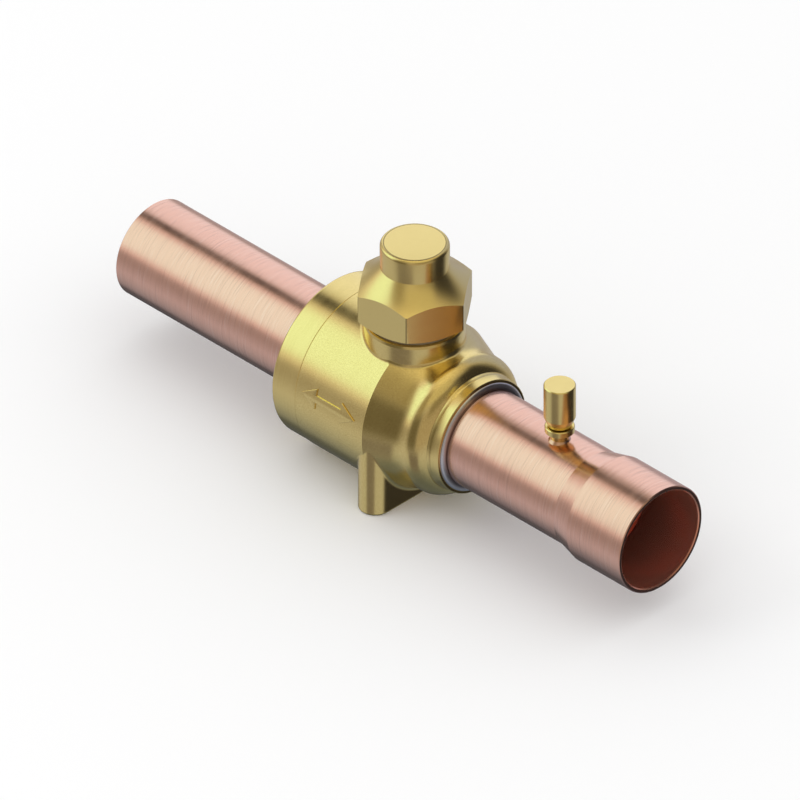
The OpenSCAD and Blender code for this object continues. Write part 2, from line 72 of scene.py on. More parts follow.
def finishMesh(name, bm, body, material, sharpAngle):
    bmesh.ops.remove_doubles(bm, verts=bm.verts, dist=weldGap)
    bmesh.ops.recalc_face_normals(bm, faces=bm.faces)
    mesh = closeMesh(name, bm)
    mesh.shade_smooth()
    mesh.set_sharp_from_angle(angle=math.radians(sharpAngle))
    mesh.materials.append(material)
    piece = placeObject(name, mesh)
    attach(piece, body)
    return piece


# The camera looks along an isometric diagonal, as the photograph does. Picture and shifts are in pixels.
view = dict(
    azimuth=45.0, elevation=35.26439, distance=1.0, picture=800, pixelsPerMetre=3077.0, sideShift=-14.8,
    upShift=-2.06)


def addCamera():
    turn, rise = math.radians(view["azimuth"]), math.radians(view["elevation"])
    back = Vector((math.sin(turn) * math.cos(rise), -math.cos(turn) * math.cos(rise), math.sin(rise)))
    facing = (-back).to_track_quat("-Z", "Y")
    data = bpy.data.cameras.new("photoCamera")
    data.type = "ORTHO"
    data.ortho_scale = view["picture"] / view["pixelsPerMetre"]
    camera = placeObject("photoCamera", data)
    camera.rotation_mode = "QUATERNION"
    camera.rotation_quaternion = facing
    shift = facing @ Vector((view["sideShift"], view["upShift"], 0)) / view["pixelsPerMetre"]
    camera.location = Vector((spindleX, 0, axisHeight)) + shift + back * view["distance"]
    scene.camera = camera


addCamera()
print("valve: camera set")


# Small helpers for node trees
def addNode(tree, kind, **settings):
    # in0, in1 and so on set the node's inputs, and any other name is a setting of the node
    node = tree.nodes.new(kind)
    for name, value in settings.items():
        if name.startswith("in") and name[2:].isdigit():
            node.inputs[int(name[2:])].default_value = value
        else:
            setattr(node, name, value)
    return node


def joinUp(tree, start, end):
    # a plain number is set on the input, and an output is linked to it
    if isinstance(start, (int, float)):
        end.default_value = start
    else:
        tree.links.new(start, end)


def addMath(tree, operation, first, second=0.0, third=0.0):
    node = addNode(tree, "ShaderNodeMath", operation=operation)
    for slot, value in enumerate((first, second, third)):
        joinUp(tree, value, node.inputs[slot])
    return node.outputs[0]


def addNoise(tree, place, scale, detail, roughness):
    node = addNode(tree, "ShaderNodeTexNoise")
    for label, value in (("Vector", place), ("Scale", scale), ("Detail", detail), ("Roughness", roughness)):
        joinUp(tree, value, node.inputs[label])
    return node.outputs[0]


def addRange(tree, source, low, high, fromLow=0.3, fromHigh=0.7):
    # spreads a value over a new range; most of a noise lies between 0.3 and 0.7
    node = addNode(tree, "ShaderNodeMapRange", in1=fromLow, in2=fromHigh, in3=low, in4=high)
    joinUp(tree, source, node.inputs[0])
    return node.outputs[0]


def addEdge(tree, source, inner, outer):
    # 1 at the inner value, fading smoothly to 0 at the outer one
    flip = inner > outer
    node = addNode(
        tree, "ShaderNodeMapRange", interpolation_type="SMOOTHSTEP",
        in1=min(inner, outer), in2=max(inner, outer), in3=0.0 if flip else 1.0, in4=1.0 if flip else 0.0)
    joinUp(tree, source, node.inputs[0])
    return node.outputs[0]


def addBlend(tree, factor, first, second):
    # one value fades into another, either of them a number or a socket
    mix = addNode(tree, "ShaderNodeMix", data_type="FLOAT")
    for slot, value in ((0, factor), (2, first), (3, second)):
        joinUp(tree, value, mix.inputs[slot])
    return mix.outputs[0]


def addTint(tree, factor, dark, light):
    mix = addNode(tree, "ShaderNodeMix", data_type="RGBA")
    mix.inputs[6].default_value = (*dark, 1)
    mix.inputs[7].default_value = (*light, 1)
    joinUp(tree, factor, mix.inputs[0])
    return mix.outputs[2]


def addOver(tree, factor, colour, tint):
    # lays one plain colour over what is there
    mix = addNode(tree, "ShaderNodeMix", data_type="RGBA")
    mix.inputs[7].default_value = (*tint, 1)
    joinUp(tree, factor, mix.inputs[0])
    joinUp(tree, colour, mix.inputs[6])
    return mix.outputs[2]


def startGroup(name, inputs, outputs):
    # a node group that takes a vector and some numbers, and gives numbers
    group = bpy.data.node_groups.new(name, "ShaderNodeTree")
    group.interface.new_socket("Vector", in_out="INPUT", socket_type="NodeSocketVector")
    for label, value in inputs.items():
        group.interface.new_socket(label, in_out="INPUT", socket_type="NodeSocketFloat").default_value = value
    for label in outputs:
        group.interface.new_socket(label, in_out="OUTPUT", socket_type="NodeSocketFloat")
    return group, addNode(group, "NodeGroupInput"), addNode(group, "NodeGroupOutput")


# Node groups that several finishes share
def buildTurnedLines():
    # fine lines around the local Z axis, on sides and end faces alike, and broad bands along them
    numbers = {"Fineness": 2500.0, "Wander": 2.0}
    group, enter, leave = startGroup("turnedLines", numbers, ("Lines", "Bands", "Radius", "Along"))
    split = addNode(group, "ShaderNodeSeparateXYZ")
    flat = addNode(group, "ShaderNodeCombineXYZ")
    length = addNode(group, "ShaderNodeVectorMath", operation="LENGTH")
    unit = addNode(group, "ShaderNodeVectorMath", operation="NORMALIZE")
    around = addNode(group, "ShaderNodeVectorMath", operation="SCALE")
    unitSplit = addNode(group, "ShaderNodeSeparateXYZ")
    place = addNode(group, "ShaderNodeCombineXYZ")
    # the bands are the lines' place stretched, most of all along and across the axis
    coarse = addNode(group, "ShaderNodeVectorMath", operation="MULTIPLY", in1=(0.6, 0.6, 0.13))
    joinUp(group, enter.outputs["Vector"], split.inputs[0])
    joinUp(group, split.outputs["X"], flat.inputs["X"])
    joinUp(group, split.outputs["Y"], flat.inputs["Y"])
    joinUp(group, flat.outputs[0], length.inputs[0])
    joinUp(group, flat.outputs[0], unit.inputs[0])
    joinUp(group, unit.outputs[0], around.inputs[0])
    joinUp(group, enter.outputs["Wander"], around.inputs["Scale"])
    joinUp(group, around.outputs[0], unitSplit.inputs[0])
    radius, along = length.outputs["Value"], split.outputs["Z"]
    joinUp(group, unitSplit.outputs["X"], place.inputs["X"])
    joinUp(group, unitSplit.outputs["Y"], place.inputs["Y"])
    reach = addMath(group, "ADD", along, radius)
    joinUp(group, addMath(group, "MULTIPLY", reach, enter.outputs["Fineness"]), place.inputs["Z"])
    joinUp(group, place.outputs[0], coarse.inputs[0])
    lines = addNoise(group, place.outputs[0], 1.0, 4.0, 0.65)
    bands = addNoise(group, coarse.outputs[0], 1.0, 3.0, 0.6)
    for label, value in (("Lines", lines), ("Bands", bands), ("Radius", radius), ("Along", along)):
        joinUp(group, value, leave.inputs[label])
    return group


def buildBlastedGrain():
    # the fine pitted skin of a blasted forging, and broad soft patches over it
    numbers = {"Grain Scale": 2200.0, "Patch Scale": 90.0}
    group, enter, leave = startGroup("blastedGrain", numbers, ("Grain", "Patches"))
    place = enter.outputs["Vector"]
    joinUp(group, addNoise(group, place, enter.outputs["Grain Scale"], 3.0, 0.55), leave.inputs["Grain"])
    joinUp(group, addNoise(group, place, enter.outputs["Patch Scale"], 4.0, 0.5), leave.inputs["Patches"])
    return group


turnedLines = buildTurnedLines()
blastedGrain = buildBlastedGrain()

# What a finish has unless it says otherwise. Scales and fineness are features per metre, and depths are in
# metres. lineShare is 1 for a skin of turned lines and 0 for blasted grain, and patchShare is 1 for wear in
# patches and 0 for wear in bands. speckle is how far the skin itself sets the colour, against the wear, and
# fleckRange holds the values that give the darkest and the lightest colour.
metalDefaults = dict(
    axis="Z", centre=(0, 0, 0), grainScale=2200.0, patchScale=90.0, lineFineness=2500.0, lineWander=2.0,
    lineShare=1.0, patchShare=0.5, bump=0.2, bumpDepth=0.00002, speckle=0.3, fleckRange=(0.34, 0.66),
    streaks=(), inside=None, paintedShadeRings=())
softDefaults = dict(specular=0.4, grainScale=1500.0, patchScale=200.0, bump=0.3, bumpDepth=0.00003)
# Painted shade rings darken thin lines along edges and creases, where shade would fall
ringCore = 0.3      # the share of a dark ring's half width that is fully dark


def startMaterial(name):
    material = bpy.data.materials.new(name)
    material.use_nodes = True
    return material, material.node_tree


def axisPlace(axis, centre):
    # Mapping values that bring a piece's own axis onto the local Z axis
    if axis == "X":
        return (centre[2], -centre[1], -centre[0]), (0, -math.pi / 2, 0)
    return (-centre[0], -centre[1], 0), (0, 0, 0)


def addGrain(tree, coords, look):
    grain = addNode(tree, "ShaderNodeGroup", node_tree=blastedGrain)
    grain.inputs["Grain Scale"].default_value = look["grainScale"]
    grain.inputs["Patch Scale"].default_value = look["patchScale"]
    joinUp(tree, coords.outputs["Object"], grain.inputs["Vector"])
    return grain


def addLines(tree, coords, look):
    location, rotation = axisPlace(look["axis"], look["centre"])
    place = addNode(tree, "ShaderNodeMapping", in1=location, in2=rotation)
    lines = addNode(tree, "ShaderNodeGroup", node_tree=turnedLines)
    lines.inputs["Fineness"].default_value = look["lineFineness"]
    lines.inputs["Wander"].default_value = look["lineWander"]
    joinUp(tree, coords.outputs["Object"], place.inputs["Vector"])
    joinUp(tree, place.outputs[0], lines.inputs["Vector"])
    return lines


def addRelief(tree, shader, height, look):
    bump = addNode(tree, "ShaderNodeBump", in0=look["bump"], in1=look["bumpDepth"])
    joinUp(tree, height, bump.inputs["Height"])
    joinUp(tree, bump.outputs[0], shader.inputs["Normal"])


def addScratchesAndGlints(tree, colour, lines, streaks):
    # scratch streaks of a second colour where the lines lie between two levels; the lighter ones are painted
    # glints, the darker ones the scratches' own tone
    mask = addRange(tree, lines.outputs["Lines"], 0, streaks["strength"], streaks["start"], streaks["full"])
    return addOver(tree, mask, colour, streaks["tint"])


def addPaintedShadeRing(tree, colour, lines, ring):
    # painted shade: a thin dark line at one radius, past one place along the axis, for the shade along an
    # edge, a crease or a bead's foot
    away = addMath(tree, "ABSOLUTE", addMath(tree, "SUBTRACT", lines.outputs["Radius"], ring["radius"]))
    line = addEdge(tree, away, ring["width"] * ringCore, ring["width"])
    past = addMath(tree, "GREATER_THAN", lines.outputs["Along"], ring["above"])
    line = addMath(tree, "MULTIPLY", line, past)
    return addOver(tree, addMath(tree, "MULTIPLY", line, ring["strength"]), colour, ring["tint"])


def insideMask(tree, lines, inside):
    # 1 inside a bore whose radius widens between two places along the axis
    wall = addRange(
        tree, lines.outputs["Along"], inside["radius"], inside["wideRadius"], inside["start"], inside["end"])
    return addMath(tree, "LESS_THAN", lines.outputs["Radius"], wall)


def metalFinish(name, look):
    look = {**metalDefaults, **look}
    material, tree = startMaterial(name)
    shader = tree.nodes["Principled BSDF"]
    shader.inputs["Metallic"].default_value = 1.0
    coords = addNode(tree, "ShaderNodeTexCoord")
    grain, lines = addGrain(tree, coords, look), addLines(tree, coords, look)
    worn = addBlend(tree, look["patchShare"], lines.outputs["Bands"], grain.outputs["Patches"])
    relief = addBlend(tree, look["lineShare"], grain.outputs["Grain"], lines.outputs["Lines"])
    addRelief(tree, shader, relief, look)
    rough = addRange(tree, worn, *look["roughness"])
    fleck = addRange(tree, addBlend(tree, look["speckle"], worn, relief), 0, 1, *look["fleckRange"])
    colour = addTint(tree, fleck, look["dark"], look["light"])
    # scratch streaks, the lighter of them painted glints
    for streaks in look["streaks"]:
        colour = addScratchesAndGlints(tree, colour, lines, streaks)
    inside = look["inside"]
    # inside the bore the redder tint is painted bounce light, the light the copper walls throw on each other
    if inside:      # the wall inside a bore is redder and less of a mirror than the outside
        within = insideMask(tree, lines, inside)
        rough = addBlend(tree, within, rough, inside["roughness"])
        colour = addOver(tree, within, colour, inside["tint"])
        joinUp(tree, addBlend(tree, within, 1.0, inside["metallic"]), shader.inputs["Metallic"])
    # painted shade along the edges and creases that the finish lists
    for ring in look["paintedShadeRings"]:
        colour = addPaintedShadeRing(tree, colour, lines, ring)
    joinUp(tree, rough, shader.inputs["Roughness"])
    joinUp(tree, colour, shader.inputs["Base Color"])
    return material


def softFinish(name, look):
    look = {**softDefaults, **look}
    material, tree = startMaterial(name)
    shader = tree.nodes["Principled BSDF"]
    shader.inputs["Specular IOR Level"].default_value = look["specular"]
    grain = addGrain(tree, addNode(tree, "ShaderNodeTexCoord"), look)
    addRelief(tree, shader, grain.outputs["Grain"], look)
    patches = grain.outputs["Patches"]
    joinUp(tree, addRange(tree, patches, *look["roughness"]), shader.inputs["Roughness"])
    colour = addTint(tree, addRange(tree, patches, 0, 1), look["dark"], look["light"])
    joinUp(tree, colour, shader.inputs["Base Color"])
    return material


# Axes and tints that several metals share
aboutPipe = dict(axis="X", centre=(0, 0, axisHeight))
aboutSpindle = dict(centre=(spindleX, 0, 0))
aboutAccess = dict(centre=(accessX, 0, 0))
brassTints = dict(dark=(0.85, 0.675, 0.265), light=(0.93, 0.755, 0.305))
forgedTints = dict(dark=(0.81, 0.635, 0.24), light=(0.97, 0.79, 0.33))
# The painted shade that the rings lay on: dark lines for edges and creases, a dark bronze line for the
# mouth's chamfer, and a dark grey band for the braze bead's foot
paintedEdgeShade = dict(strength=0.7, tint=(0.16, 0.12, 0.05))
paintedChamferShade = dict(strength=0.6, tint=(0.42, 0.27, 0.11))
paintedBeadShade = dict(strength=0.6, tint=(0.18, 0.16, 0.17))
metals = dict(
    forgedBrass=dict(
        **forgedTints, **aboutPipe, roughness=(0.19, 0.25), grainScale=2300.0, lineShare=0.0, bump=0.06,
        speckle=0.7),
    mouthBrass=dict(
        **brassTints, **aboutPipe, roughness=(0.17, 0.23), lineFineness=1800.0, bump=0.15, speckle=0.4,
        # painted shade: a dark line in the crease at the lip's root, and a dark bronze line on the mouth's
        # chamfer
        paintedShadeRings=[
            dict(radius=21.25 * mm, width=0.3 * mm, above=0.0, **paintedEdgeShade),
            dict(radius=19.9 * mm, width=0.36 * mm, above=0.0, **paintedChamferShade)]),
    closureBrass=dict(
        **forgedTints, **aboutPipe, roughness=(0.18, 0.24), grainScale=2300.0, lineShare=0.5, bump=0.10,
        speckle=0.6),
    capBrass=dict(
        **brassTints, **aboutSpindle, roughness=(0.23, 0.28), grainScale=2600.0, lineShare=0.3, bump=0.07,
        speckle=0.6,
        # painted shade: dark lines down the hexagon's corners and round the edge of the boss's top
        paintedShadeRings=[
            dict(radius=20.2 * mm, width=0.34 * mm, above=0.0, **paintedEdgeShade),
            dict(radius=10.2 * mm, width=0.3 * mm, above=axisHeight + 61.5 * mm, **paintedEdgeShade)]),
    accessBrass=dict(**brassTints, **aboutAccess, roughness=(0.20, 0.26), lineShare=0.6, bump=0.1),
    copperPipe=dict(
        **aboutPipe, dark=(0.86, 0.51, 0.395), light=(0.93, 0.58, 0.455), roughness=(0.19, 0.27),
        lineFineness=2000.0, lineWander=1.2, bump=0.35, speckle=0.6,
        # scratch streaks: a darker tone, and painted glints in a pale pink
        streaks=[
            dict(tint=(0.58, 0.36, 0.30), start=0.53, full=0.66, strength=0.42),
            dict(tint=(0.98, 0.74, 0.64), start=0.47, full=0.34, strength=0.35)],
        # in the bore: a redder tint, painted bounce light, and less of a mirror
        inside=dict(
            radius=16.5 * mm, wideRadius=18.0 * mm, start=spindleX + 80.9 * mm, end=spindleX + 88.9 * mm,
            roughness=0.2, metallic=0.88, tint=(0.84, 0.38, 0.26))),
    brazeSilver=dict(
        **aboutPipe, dark=(0.66, 0.66, 0.69), light=(0.80, 0.80, 0.83), roughness=(0.26, 0.34), lineShare=0.0,
        # painted shade: a dark grey band on the bead's foot against the tube
        paintedShadeRings=[dict(radius=17.2 * mm, width=1.1 * mm, above=0.0, **paintedBeadShade)]),
    brazeCopper=dict(
        dark=(0.76, 0.46, 0.30), light=(0.88, 0.56, 0.40), roughness=(0.2, 0.3), lineShare=0.0, bump=0.3),
    ballChrome=dict(
        dark=(0.76, 0.77, 0.79), light=(0.86, 0.87, 0.88), roughness=(0.06, 0.1), lineShare=0.2, bump=0.02),
    spindleSteel=dict(
        **aboutSpindle, dark=(0.50, 0.51, 0.53), light=(0.62, 0.63, 0.65), roughness=(0.22, 0.32)),
    coreSteel=dict(
        **aboutAccess, dark=(0.55, 0.56, 0.58), light=(0.66, 0.67, 0.69), roughness=(0.2, 0.3), bump=0.1),
)
softs = dict(
    seatPlastic=dict(dark=(0.82, 0.82, 0.79), light=(0.88, 0.88, 0.85), roughness=(0.4, 0.5)),
    capRubber=dict(dark=(0.24, 0.165, 0.07), light=(0.34, 0.235, 0.10), roughness=(0.4, 0.5)),
    sealRubber=dict(dark=(0.02, 0.02, 0.022), light=(0.035, 0.035, 0.038), roughness=(0.5, 0.65)),
    gasketFibre=dict(dark=(0.17, 0.12, 0.06), light=(0.26, 0.19, 0.10), roughness=(0.7, 0.85), bump=0.6),
)
finishes = {name: metalFinish(name, look) for name, look in metals.items()}
finishes.update({name: softFinish(name, look) for name, look in softs.items()})
nodeFinishes = dict(
    forgedBrass=["valve_body"],
    closureBrass=["end_closure"],
    capBrass=["seal_cap", "gland_nut"],
    accessBrass=["access_stub", "access_core", "access_cap"],
    copperPipe=["inlet_tube", "outlet_tube"],
    brazeSilver=["inlet_braze", "outlet_braze"],
    brazeCopper=["access_braze"],
    ballChrome=["ball"],
    spindleSteel=["spindle", "stop_pin"],
    coreSteel=["access_core_pin", "access_core_spring"],
    seatPlastic=["inlet_seat", "outlet_seat", "thrust_washer", "spindle_packing"],
    sealRubber=[
        "inlet_seat_ring", "outlet_seat_ring", "spindle_o_ring_lower", "spindle_o_ring_upper",
        "access_core_seal"],
    capRubber=["access_cap_gasket"],
    gasketFibre=["cap_gasket"],
)
for finish, names in nodeFinishes.items():
    for name in names:
        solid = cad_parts[name].data
        solid.materials.clear()
        solid.materials.append(finishes[finish])
print("valve: finishes on", sum(len(names) for names in nodeFinishes.values()), "solids")

# The forging's outside along the pipe, in mm from the spindle's axis, for the blends that lie on it. A blend
# rolls on the nose for no more than noseReach past the collar.
forging = dict(
    seamX=-26.0, barrelR=29.27, shoulderX=4.9, shoulderSlope=20.0, collarR=24.95, collarX=20.0, noseR=6.95,
    noseReach=6.0)

# The blends, in mm. sunk and backReach, a share of the blend's radius, put their hidden sides in the forging.
blends = dict(
    neckR=16.7, neckRound=1.7, neckSteps=160, footX=4.8, footLength=57.3, footWidth=11.2, footRound=1.8,
    footEndSteps=48, footSideSteps=24, footCut=0.05, shoulderRound=16.0, shoulderSteps=12, shoulderTurns=180,
    arcSteps=8, rollSteps=60, sunk=0.3, backReach=1.15, sharp=60)


def allParts(bm):
    return bm.verts[:] + bm.edges[:] + bm.faces[:]


def pickOut(kind, parts):
    return [part for part in parts if isinstance(part, kind)]


def closedLoop(bm, places):
    loop = [bm.verts.new(place) for place in places]
    for i in range(len(loop)):
        bm.edges.new((loop[i - 1], loop[i]))
    return loop


def fullSpin(bm, centre, axis, steps):
    bmesh.ops.spin(
        bm, geom=allParts(bm), cent=centre, axis=axis, angle=2 * math.pi, steps=steps, use_merge=True)


def turnedRing(section, steps):
    # turns a closed section about the pipe's axis: places from the spindle's axis, and radii, in mm
    bm = bmesh.new()
    closedLoop(bm, [(spindleX + x * mm, 0, axisHeight + r * mm) for x, r in section])
    fullSpin(bm, (0, 0, axisHeight), (1, 0, 0), steps)
    return bm


def sweepRing(sections):
    # carries one closed loop of points through all the sections and back to the first
    bm = bmesh.new()
    loop = closedLoop(bm, sections[0])
    edges = bm.edges[:]
    for section in sections[1:] + sections[:1]:
        grown = bmesh.ops.extrude_edge_only(bm, edges=edges)["geom"]
        fresh = set(pickOut(bmesh.types.BMVert, grown))
        edges = [e for e in pickOut(bmesh.types.BMEdge, grown) if e.verts[0] in fresh and e.verts[1] in fresh]
        loop = [next(e.other_vert(v) for e in v.link_edges if e.other_vert(v) in fresh) for v in loop]
        for vert, place in zip(loop, section):
            vert.co = place
    return bm


def cutFlat(bm, place, outwards):
    # takes off what lies past a plane and closes the cut
    cut = bmesh.ops.bisect_plane(
        bm, geom=allParts(bm), dist=1e-8, plane_co=place, plane_no=outwards, clear_outer=True)["geom_cut"]
    bmesh.ops.edgeloop_fill(bm, edges=pickOut(bmesh.types.BMEdge, cut))


def forgingRadius(x):
    # the forging's radius at x, or None past its ends
    if x < forging["seamX"] or x > forging["collarX"] + forging["noseReach"]:
        return None
    if x <= forging["shoulderX"]:
        return forging["barrelR"]
    if x <= forging["collarX"]:
        slope = math.tan(math.radians(forging["shoulderSlope"]))
        return max(forging["collarR"], forging["barrelR"] - (x - forging["shoulderX"]) * slope)
    run = x - forging["collarX"]
    return forging["collarR"] - forging["noseR"] + math.sqrt(forging["noseR"] ** 2 - run ** 2)


def rollBall(x, y, ballR):
    # a ball that lies on the forging with its centre over (x, y): the centre's height and where it touches
    best = None
    for step in range(-blends["rollSteps"], blends["rollSteps"] + 1):
        touchX = x + ballR * step / blends["rollSteps"]
        radius = forgingRadius(touchX)
        if radius is None:
            continue
        reach = radius + math.sqrt(max(0, ballR ** 2 - (touchX - x) ** 2))
        if best is None or reach > best[0]:
            best = (reach, touchX, radius)
    reach, touchX, radius = best
    height = math.sqrt(reach ** 2 - y ** 2)
    return height, Vector((touchX, y * radius / reach, height * radius / reach))


def blendSections(footprint, ballR, side):
    # one closed section of the blend for each point of the upright wall's outline
    steps, sunk = blends["arcSteps"], blends["sunk"]
    sections = []
    for x, y, outX, outY in footprint:
        centreX, centreY = x + outX * ballR, y + outY * ballR
        height, touch = rollBall(centreX, centreY, ballR)
        centre = Vector((centreX, centreY, height))
        toWall, toBody = Vector((-outX, -outY, 0)), (touch - centre).normalized()
        arc = [centre + toWall.slerp(toBody, i / steps) * ballR for i in range(steps + 1)]
        behind = centre + (toWall + toBody) * ballR * blends["backReach"]
        section = arc + [touch + toBody * sunk, behind, centre + toWall * (ballR + sunk)]
        sections.append([
            Vector((spindleX + p.x * mm, p.y * mm, axisHeight + side * p.z * mm)) for p in section])
    return sections


def finishBlend(name, bm):
    finishMesh(name, bm, "valve", finishes["forgedBrass"], blends["sharp"])


def addNeckBlend():
    outline = []
    for i in range(blends["neckSteps"]):
        turn = 2 * math.pi * i / blends["neckSteps"]
        outX, outY = math.cos(turn), math.sin(turn)
        outline.append((blends["neckR"] * outX, blends["neckR"] * outY, outX, outY))
    finishBlend("neckBlend", sweepRing(blendSections(outline, blends["neckRound"], 1)))


def addFootBlend():
    endSteps, sideSteps = blends["footEndSteps"], blends["footSideSteps"]
    endR, straight = blends["footWidth"] / 2, (blends["footLength"] - blends["footWidth"]) / 2
    outline = []
    for end in (1, -1):
        for i in range(endSteps + 1):
            turn = math.pi * i / endSteps + (0 if end == 1 else math.pi)
            outX, outY = math.cos(turn), math.sin(turn)
            outline.append((blends["footX"] + endR * outX, end * straight + endR * outY, outX, outY))
        for i in range(1, sideSteps):
            share = 1 - 2 * i / sideSteps
            outline.append((blends["footX"] - end * endR, end * straight * share, -end, 0))
    ring = sweepRing(blendSections(outline, blends["footRound"], -1))
    cutFlat(ring, (0, 0, blends["footCut"] * mm), (0, 0, -1))     # just short of the foot's face
    finishBlend("footBlend", ring)


def addShoulderBlend():
    # the wide hollow blend between shoulder and collar
    slope, blendR = math.radians(forging["shoulderSlope"]), blends["shoulderRound"]
    collarR, sunk, steps = forging["collarR"], blends["sunk"], blends["shoulderSteps"]
    cornerX = forging["shoulderX"] + (forging["barrelR"] - collarR) / math.tan(slope)
    centreX, centreR = cornerX + blendR * math.tan(slope / 2), collarR + blendR
    section = []
    for i in range(steps + 1):
        lean = slope * (1 - i / steps)
        section.append((centreX - blendR * math.sin(lean), centreR - blendR * math.cos(lean)))
    (startX, startR), (endX, endR) = section[0], section[-1]
    section += [(endX, endR - sunk), (cornerX, collarR - sunk), (startX, startR - sunk)]
    finishBlend("shoulderBlend", turnedRing(section, blends["shoulderTurns"]))


addNeckBlend()
addFootBlend()
addShoulderBlend()
print("valve: blends laid")

# A raised two-way arrow on the barrel's side says that the valve takes flow both ways. Sizes are in mm.
flowArrow = dict(
    middleX=-11.0, angle=11.0, length=24.0, headLength=6.4, headWidth=7.4, shaftWidth=2.6, raised=0.45,
    sunk=0.3, edge=0.15, edgeSteps=3, slices=9, sharp=50)


def addFlowArrow():
    look, barrelR = flowArrow, forging["barrelR"]
    half, neck = look["length"] / 2, look["length"] / 2 - look["headLength"]
    side, shaft = look["headWidth"] / 2, look["shaftWidth"] / 2
    outline = [(half, 0), (neck, side), (neck, shaft), (-neck, shaft), (-neck, side), (-half, 0)]
    outline += [(x, -y) for x, y in reversed(outline[1:-1])]
    bm = bmesh.new()
    face = bm.faces.new([bm.verts.new((x, y, 0)) for x, y in outline])
    top = pickOut(bmesh.types.BMVert, bmesh.ops.extrude_face_region(bm, geom=[face])["geom"])
    bmesh.ops.translate(bm, verts=top, vec=(0, 0, look["raised"] + look["sunk"]))
    rim = [e for e in bm.edges if e.verts[0] in top and e.verts[1] in top]
    bmesh.ops.bevel(
        bm, geom=rim, offset=look["edge"], segments=look["edgeSteps"], profile=0.5, affect="EDGES",
        material=-1)
    # lengthways cuts, which let the arrow bend round the barrel
    for step in range(1 - look["slices"], look["slices"]):
        place = (0, side * step / look["slices"], 0)
        bmesh.ops.bisect_plane(bm, geom=allParts(bm), dist=1e-6, plane_co=place, plane_no=(0, 1, 0))
    for vert in bm.verts:
        along, across, rise = vert.co
        turn = math.radians(look["angle"]) + across / barrelR
        radius = (barrelR - look["sunk"] + rise) * mm
        x = spindleX + (look["middleX"] + along) * mm
        vert.co = (x, -radius * math.cos(turn), axisHeight + radius * math.sin(turn))
    finishMesh("flowArrow", bm, "valve", finishes["forgedBrass"], look["sharp"])


# The turned lip round the outlet's mouth and the bead of braze in it, in mm: pairs of a place from the
# spindle's axis and a radius from the pipe's
mouthLip = dict(
    outside=[
        (26.0, 21.25), (26.15, 21.0), (27.0, 20.8), (28.0, 20.62), (29.0, 20.5), (30.0, 20.42), (30.6, 20.38),
        (30.85, 20.1)],
    inside=[(30.9, 19.2), (26.0, 19.2)], steps=192, sharp=20)
brazeBead = dict(
    outside=[
        (30.5, 19.35), (30.95, 19.32), (31.25, 19.15), (31.45, 18.8), (31.58, 18.35), (31.68, 17.8),
        (31.75, 17.25)],
    inside=[(31.75, 17.05), (30.5, 17.05)], steps=192, sharp=50)


def addPipeRing(name, ring, material):
    bm = turnedRing(ring["outside"] + ring["inside"], ring["steps"])
    return finishMesh(name, bm, "valve", material, ring["sharp"])


# The seal cap, in mm: radii from its own axis, heights above the pipe's axis
capShape = dict(
    skirtR=15.2, skirtZ=32.5, skirtChamfer=0.2, hexZ=34.1, flat=17.4, hexTurn=7.0, cornerR=20.29,
    underside=30.0, cornerZ=45.3, bossR=11.45, bossZ=53.1, coneSag=0.55, coneSteps=12, topZ=62.0,
    bossRound=1.3, bossSteps=8, grooveR=14.2, grooveChamfer=0.3, boreZ=45.4, roomR=8.2, roomZ=58.6,
    edgeRound=0.2, edgeSteps=3, steps=192, sharp=28)


def capOutline():
    # the cap's half section, from the middle of the room's ceiling round the outside to the middle of the top
    cap = capShape
    lead, rim = cap["grooveChamfer"], cap["skirtChamfer"]
    chamfer = (cap["cornerR"] - cap["flat"]) * math.tan(math.radians(cap["underside"]))
    points = [(0, cap["roomZ"]), (cap["roomR"], cap["roomZ"]), (cap["roomR"], cap["boreZ"])]
    points += [(cap["grooveR"], cap["boreZ"]), (cap["grooveR"], cap["skirtZ"] + lead)]
    points += [(cap["grooveR"] + lead, cap["skirtZ"]), (cap["skirtR"] - rim, cap["skirtZ"])]
    points += [(cap["skirtR"], cap["skirtZ"] + rim), (cap["skirtR"], cap["hexZ"]), (cap["flat"], cap["hexZ"])]
    points += [(cap["cornerR"], cap["hexZ"] + chamfer)]
    run, rise = cap["cornerR"] - cap["bossR"], cap["bossZ"] - cap["cornerZ"]
    chord = math.hypot(run, rise)
    for i in range(cap["coneSteps"] + 1):
        share = i / cap["coneSteps"]
        sag = cap["coneSag"] * 4 * share * (1 - share)
        radius = cap["cornerR"] - run * share - sag * rise / chord
        points.append((radius, cap["cornerZ"] + rise * share - sag * run / chord))
    for i in range(cap["bossSteps"] + 1):
        turn = math.pi / 2 * i / cap["bossSteps"]
        across, up = cap["bossRound"] * (1 - math.cos(turn)), cap["bossRound"] * (1 - math.sin(turn))
        points.append((cap["bossR"] - across, cap["topZ"] - up))
    return points + [(0, cap["topZ"])]


